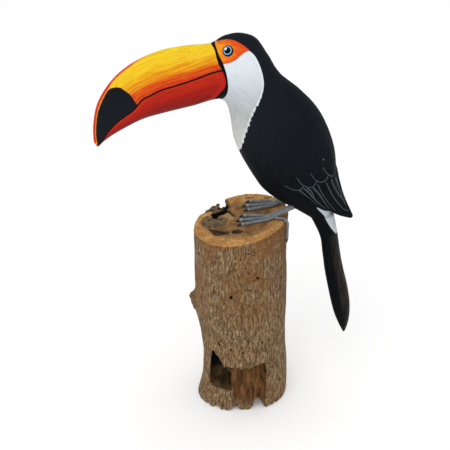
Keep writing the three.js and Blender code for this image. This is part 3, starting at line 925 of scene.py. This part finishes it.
# ---------------------------------------------------------------- the bill
# The bill is carved in the same wood, its two halves parted by a cut line, and glued on at the black band.
# It is brushed along its length with satin paint: yellow at the crest, then ochre and orange, and red below.
BILL_GRAIN = 0.9
BILL_PROUD = 0.25
MOUTH = (
    (-195, 337), (-187, 350), (-180.5, 359), (-173, 370.5), (-165, 380), (-158, 387), (-150, 393.7),
    (-141, 400.5), (-134.5, 407.5), (-129, 415), (-124, 420), (-118, 423.4), (-108, 429.6), (-99.5, 434),
    (-85, 439.3), (-57, 450.3), (-33, 461), (-10, 469),
)
BAND_FRONT = (
    (-50, 500), (-41.5, 491.5), (-35.6, 487), (-31.3, 476.6), (-28.4, 470), (-25, 465.3), (-21.4, 457.4),
    (-19.8, 448), (-21.7, 441.5), (-27.6, 433.5), (-33.3, 426), (-40, 418.5), (-52, 408),
)
TIP_PATCH = (
    (-170, 427), (-162, 431), (-154, 432), (-146, 428), (-140, 423.5), (-136.5, 418), (-132.5, 411),
    (-130, 400), (-150, 380), (-170, 352), (-186, 340), (-189.5, 352), (-190, 364), (-189.3, 375),
    (-187.5, 387.5), (-184, 400.5), (-179, 412), (-174.5, 420.5),
)
RIM_WIDTH, RIM_END, RIM_FADE = 4.2, 140, 100  # the red edging, and where it ends along the mouth
base_line = curve_through(BILL_BASE, 60)
mouth_line = curve_through(MOUTH, 90)
crest_line = curve_through([row[0:2] for row in CARVING[:10]], 90)
under_line = curve_through([row[2:4] for row in CARVING[:10]], 90)
front_of_base = slab([*base_line, (-42, 300), (-260, 300), (-260, 560), (-47, 560)], BIRD_Y - 60, BIRD_Y + 60)
whole_bill = cut(settle(loft(CARVING[:10], 88, 140, 2.05, BILL_PROUD)), [front_of_base], "INTERSECT")


def bill_half(above):
    """The bill above or below the mouth's line, with the distances that its paint follows."""
    limits = [(-10, 560), (-260, 560), (-260, 337)] if above else [(-10, 300), (-195, 300)]
    mouth_block = slab([*mouth_line, *limits], BIRD_Y - 60, BIRD_Y + 60)
    half = fused([cut(whole_bill.copy(), [mouth_block], "INTERSECT")], BILL_GRAIN, 3)
    seen = flat_of(places_of(half))
    rise, along = line_distance(seen, mouth_line)
    outer = np.abs(line_distance(seen, crest_line if above else under_line)[0])
    edging = (RIM_WIDTH + 2) * climb(along, RIM_END, RIM_END - RIM_FADE) ** 0.6 - 2
    mark(
        half, mouth=np.abs(rise), share=np.abs(rise) / np.maximum(np.abs(rise) + outer, 1),
        band=line_distance(seen, curve_through(BAND_FRONT, 80))[0], tip=depth_in(seen, TIP_PATCH, 110),
        edging=edging - outer, lie=np.column_stack([rise, places_of(half)[:, 1], along]) / 1000,
    )
    return half


def bill_material(name, colours, dark_streaks):
    """Paint brushed along the bill, its colour running from the mouth outwards."""
    made, tree, shader = new_material(name, 0.45, 0.08)
    lie = kept(tree, "lie", "Vector")
    broad = streaked(tree, lie, 260, 20)
    fine = streaked(tree, lie, 700, 16)
    shift = plus(tree, swing(tree, broad, 0.27), swing(tree, fine, 0.1))
    colour = ramp(tree, plus(tree, kept(tree, "share"), shift), *colours)
    colour = over(tree, step_up(tree, fine, 0.55, 0.1), colour, dark_streaks, 0.42)
    return made, tree, shader, colour, plus(tree, fine, broad)


def finish_bill(tree, shader, colour, relief):
    """The dark mouth line and the black band, over the rest of the paint."""
    colour = over(tree, step_up(tree, kept(tree, "mouth"), 1.4, 0.9), colour, paint(30, 16, 14))
    band = edged(tree, kept(tree, "band"))
    colour = over(tree, band, colour, paint(12, 15, 19))
    tree.links.new(between(tree, band, 0.45, 0.8), shader.inputs["Roughness"])
    surface(tree, shader, colour, relief, 0.25, 0.0003)


upper_material, tree, shader, colour, relief = bill_material("upper_bill_paint", (
    (0.0, 204, 50, 18), (1.0, 248, 220, 34), (0.17, 206, 55, 18), (0.27, 221, 84, 22), (0.34, 226, 122, 24),
    (0.43, 228, 154, 22), (0.56, 238, 182, 30), (0.72, 245, 202, 42), (0.94, 244, 206, 36),
), paint(216, 130, 20))
edging = kept(tree, "edging")
colour = over(tree, step_up(tree, edging, -1.8, -0.2), colour, paint(248, 142, 28))
colour = over(tree, step_up(tree, edging, -0.5, 0.5), colour, paint(212, 50, 16))
wavering = swing(tree, spotted(tree, kept(tree, "lie", "Vector"), 300), 1.2)
patch = plus(tree, kept(tree, "tip"), wavering)
colour = over(tree, edged(tree, patch), colour, paint(15, 19, 26))
finish_bill(tree, shader, colour, relief)
finished("painted_bill_upper", bill_half(True), upper_material, ["bill_upper"])

lower_material, tree, shader, colour, relief = bill_material("lower_bill_paint", (
    (0.0, 198, 48, 16), (1.0, 112, 20, 12), (0.15, 190, 38, 18),
    (0.4, 174, 27, 17), (0.65, 154, 22, 16), (0.85, 138, 24, 15),
), paint(118, 26, 14))
at_base = step_up(tree, kept(tree, "band"), -7, -1)
colour = over(tree, at_base, colour, paint(190, 24, 22), 0.8)
finish_bill(tree, shader, colour, relief)
finished("painted_bill_lower", bill_half(False), lower_material, ["bill_lower"])

# ---------------------------------------------------------------- the eyes
# Each eye is a low carved dome with a raised rim, set in the head and painted in gloss enamel: a black
# outline, a blue ring and a black pupil, with a white glint as a painted highlight.
EYE_SPOT, EYE_SEAT, EYE_PROUD = (-17.7, 487.3), 7, 0.5  # x and z, the wood it sits on, and its lift
RIM_RADIUS, DOME_RADIUS, DOME_HEIGHT, EYE_ROOT = 6.6, 5.9, 1.6, -3.5
RING_CENTRE = Vector((-0.25, 0.4))  # forwards and up from the outline's middle
RING_OUTER, RING_INNER = 5.5, 4.0
GLINT_CENTRE, GLINT_RADIUS = Vector((-2.6, 2.3)), 1.8

eye_material, tree, shader = new_material("eye_enamel", 0.3, 0.04)
from_ring = kept(tree, "from_ring")
deeper = step_up(tree, from_ring, RING_OUTER - 0.9, RING_OUTER)
blue = over(tree, deeper, paint(128, 192, 236), paint(66, 130, 184))
inside_outer = step_up(tree, from_ring, RING_OUTER, RING_OUTER - 0.35)
outside_inner = step_up(tree, from_ring, RING_INNER - 0.2, RING_INNER + 0.2)
blue_ring = times(tree, inside_outer, outside_inner)
colour = over(tree, blue_ring, paint(9, 11, 13), blue)
# Painted highlight: a white glint above the pupil, towards the bill.
glint = step_up(tree, kept(tree, "from_glint"), GLINT_RADIUS, GLINT_RADIUS - 0.7)
colour = over(tree, glint, colour, paint(250, 252, 255))
tree.links.new(colour, shader.inputs["Base Color"])

head_places, head_facings = places_of(skin) * 1000, facings_of(skin)
head_seen = flat_of(head_places)
for side, name in ((-1, "left"), (1, "right")):
    eye = bmesh.new()
    dome = [(DOME_RADIUS * t, DOME_HEIGHT * math.sqrt(1 - 0.86 * t * t)) for t in np.linspace(0, 1, 12)]
    rim = [
        (RIM_RADIUS - 0.45, 0.95), (RIM_RADIUS - 0.1, 0.7), (RIM_RADIUS, 0.2),
        (RIM_RADIUS - 0.3, EYE_ROOT), (0, EYE_ROOT),
    ]
    profile = [eye.verts.new((radius, 0, height)) for radius, height in dome + rim]
    edges = [eye.edges.new(pair) for pair in zip(profile, profile[1:])]
    bmesh.ops.spin(
        eye, geom=profile + edges, axis=(0, 0, 1), cent=(0, 0, 0), angle=math.tau, steps=72, use_merge=True
    )
    bmesh.ops.remove_doubles(eye, verts=eye.verts, dist=1e-4)
    bmesh.ops.recalc_face_normals(eye, faces=eye.faces)
    near_spot = np.linalg.norm(head_seen - EYE_SPOT, axis=1) < EYE_SEAT
    under_eye = near_spot & (side * (head_places[:, 1] - BIRD_Y) > 0)
    aim = Vector(head_facings[under_eye].mean(axis=0)).normalized()
    forwards = (Vector((1, 0, 0)) - aim * aim.x).normalized()
    upwards = aim.cross(forwards) * -side
    middle_of_eye = Vector(head_places[under_eye].mean(axis=0)) + aim * EYE_PROUD
    bmesh.ops.transform(eye, verts=eye.verts, matrix=pointing(middle_of_eye, aim))
    eye_mesh = settle(eye)
    offset = places_of(eye_mesh) - np.array(middle_of_eye)
    flat_places = np.column_stack([offset @ np.array(forwards), offset @ np.array(upwards)])
    mark(
        eye_mesh, from_ring=np.linalg.norm(flat_places - np.array(RING_CENTRE), axis=1),
        from_glint=np.linalg.norm(flat_places - np.array(GLINT_CENTRE), axis=1),
    )
    finished("enamel_eye_" + name, eye_mesh, eye_material, ["eye_" + name])

# ---------------------------------------------------------------- the feet
# Each foot is steel wire, hammered flat at the leg and soldered where the toes meet. Rings of solder
# are its knuckles. It is painted grey, and a thin hind toe is bent over the log's rim.
TOE, HIND_TOE = 2.25, 1.7  # radii
LEG_WIDTH, LEG_DEPTH = 4.9, 3.5  # half sizes
TOE_LENGTH, CLAW_LENGTH = 40.5, 5.6
PAD = Vector((6, 7.2, 3.2))
LIFT = 0.3  # the metal's height over the saw cut
FOOT_GRAIN = 0.45
TOE_SPREAD = 10  # between two toes' tips
HIND_DROP = 24  # how far the hind toe hangs down the log's side
FEET = (("left", -1, 38, -6, -0.24), ("right", 1, 42, 27, 0.6))  # side, x, y and the hind toe's turn
cut_up = Vector((-TOP_SLOPE.x, -TOP_SLOPE.y, 1)).normalized()


def on_top(x, y, lift):
    return Vector((x, y, top_height(x, y) + lift))


def wire(points, sizes, steps, widen=1.0):
    """A closed rod along points, its radius from sizes at each point, widened across the cut by widen."""
    path = curve_through([(*point, size) for point, size in zip(points, sizes)], steps)
    shape = bmesh.new()
    loops = []
    for i, (*centre, size) in enumerate(path):
        along = Vector(path[min(i + 1, steps - 1)][:3] - path[max(i - 1, 0)][:3]).normalized()
        across_wire = cut_up.cross(along).normalized()
        up_wire = along.cross(across_wire)

        def place(out, rise):
            return Vector(centre) + across_wire * out * size * widen + up_wire * rise * size

        loops.append(ring(shape, 18, place))
    bridge(shape, loops)
    return settle(shape)


# each swelling or neck along a toe: where, how much thicker and how long
KNUCKLES = ((0.94, 0.1, 0.05), (0.86, -0.1, 0.03), (0.55, 0.07, 0.07), (0.35, -0.06, 0.06))


def with_knuckles(start, end, count, radius):
    """Points and radii along a toe, swollen in a ring at each knuckle and necked before it."""
    points, sizes = [], []
    for i in range(count):
        t = i / (count - 1)
        swell = sum(high * hump(t, at, wide) for at, high, wide in KNUCKLES)
        points.append(start.lerp(end, t))
        sizes.append(radius * (1 + swell) * (0.8 + 0.2 * min(1, t * 4)))
    return points, sizes


metal_material, tree, shader = new_material("grey_painted_wire", 0.45, 0.45)
place = node(tree, "TexCoord").outputs["Object"]
lengthwise = node(tree, "Mapping", {"Vector": place, "Rotation": (0, math.radians(90), 0)}).outputs[0]
brushed = streaked(tree, lengthwise, 800, 6)
grey = ramp(tree, brushed, (0.1, 84, 88, 90), (0.9, 130, 136, 140))
grey = over(tree, step_up(tree, spotted(tree, place, 260), 0.56, 0.72), grey, paint(168, 178, 186), 0.4)
# Painted shade in the neck before each knuckle, and a painted highlight on each knuckle's ring.
grey = over(tree, kept(tree, "neck"), grey, paint(44, 47, 50), 0.8)
grey = over(tree, kept(tree, "bead"), grey, paint(160, 170, 178), 0.45)
surface(tree, shader, grey, plus(tree, brushed, spotted(tree, place, 900)), 0.3, 0.0003)

claw_material, tree, shader = new_material("black_claw_paint", 0.35, 0.4)
place = node(tree, "TexCoord").outputs["Object"]
claw_black = ramp(tree, spotted(tree, place, 700), (0.3, 10, 11, 13), (0.8, 34, 36, 40))
surface(tree, shader, claw_black, spotted(tree, place, 1500), 0.2, 0.0002)

for name, side, x, y, hind_turn in FEET:
    leg = [on_top(x + 29, y + side, 16.5), on_top(x + 14, y, 9.5), on_top(x + 1, y, 4.5), on_top(x - 8, y, 3)]
    parts = [
        wire(leg, [LEG_DEPTH, LEG_DEPTH, LEG_DEPTH * 0.95, 1.6], 40, LEG_WIDTH / LEG_DEPTH),
        settle(ball(PAD, on_top(x, y, PAD.z + LIFT))),
    ]
    nodes = ["leg_" + name]
    claws = []
    knuckles = []
    for toe, spread in (("inner", -side * TOE_SPREAD), ("middle", 0), ("outer", side * TOE_SPREAD)):
        reach = TOE_LENGTH - abs(spread) * 0.35
        start = on_top(x - 2, y + spread * 0.45, TOE + LIFT)
        end = on_top(x - reach, y + spread, TOE + LIFT)
        points, sizes = with_knuckles(start, end, 44, TOE)
        parts.append(wire(points, sizes, 130))
        knuckles.append((start.lerp(end, 0.93), start.lerp(end, 0.86)))
        nodes.append(f"toe_{name}_{toe}")
        tip = on_top(x - reach - CLAW_LENGTH, y + spread, 0.9)
        bent = [end, end.lerp(tip, 0.4) + cut_up * 0.5, end.lerp(tip, 0.75) + cut_up * 0.3, tip]
        claws.append((f"claw_{name}_{toe}", bent, [1.9, 1.6, 1.1, 0.35]))

    def hang(inward, lift):
        radius = LOG_GIRTH[-1] + HIND_TOE + 1 - inward
        return on_top(LOG_LEAN[-1] + radius * math.cos(hind_turn), radius * math.sin(hind_turn), lift)

    bend = [on_top(x + 3, y, 4), hang(14, 4.5), hang(4, 3.5), hang(0, -2), hang(0, -12), hang(0, -HIND_DROP)]
    parts.append(wire(bend, [HIND_TOE * 1.1] * 2 + [HIND_TOE] * 4, 70))
    nodes.append(f"toe_{name}_hind")
    hind_tip = [hang(0, 0.5 - HIND_DROP), hang(0.3, -3 - HIND_DROP), hang(0.6, -6.5 - HIND_DROP)]
    claws.append((f"claw_{name}_hind", hind_tip, [1.5, 1.2, 0.35]))
    foot = fused(parts, FOOT_GRAIN, 2)
    places = places_of(foot)
    # Masks for a painted highlight on each knuckle's ring and painted shade in the neck before it.
    bead, neck = np.zeros(len(places)), np.zeros(len(places))
    for bead_place, neck_place in knuckles:
        from_bead = np.linalg.norm(places - np.array(bead_place), axis=1)
        from_neck = np.linalg.norm(places - np.array(neck_place), axis=1)
        bead = np.maximum(bead, np.exp(-((from_bead / 3.2) ** 4)))
        neck = np.maximum(neck, hump(places[:, 0], neck_place.x, 0.8) * (from_neck < 4))
    mark(foot, bead=bead, neck=neck)
    finished("wire_foot_" + name, foot, metal_material, nodes)
    for claw, points, sizes in claws:
        finished("painted_" + claw, wire(points, sizes, 16), claw_material, [claw])
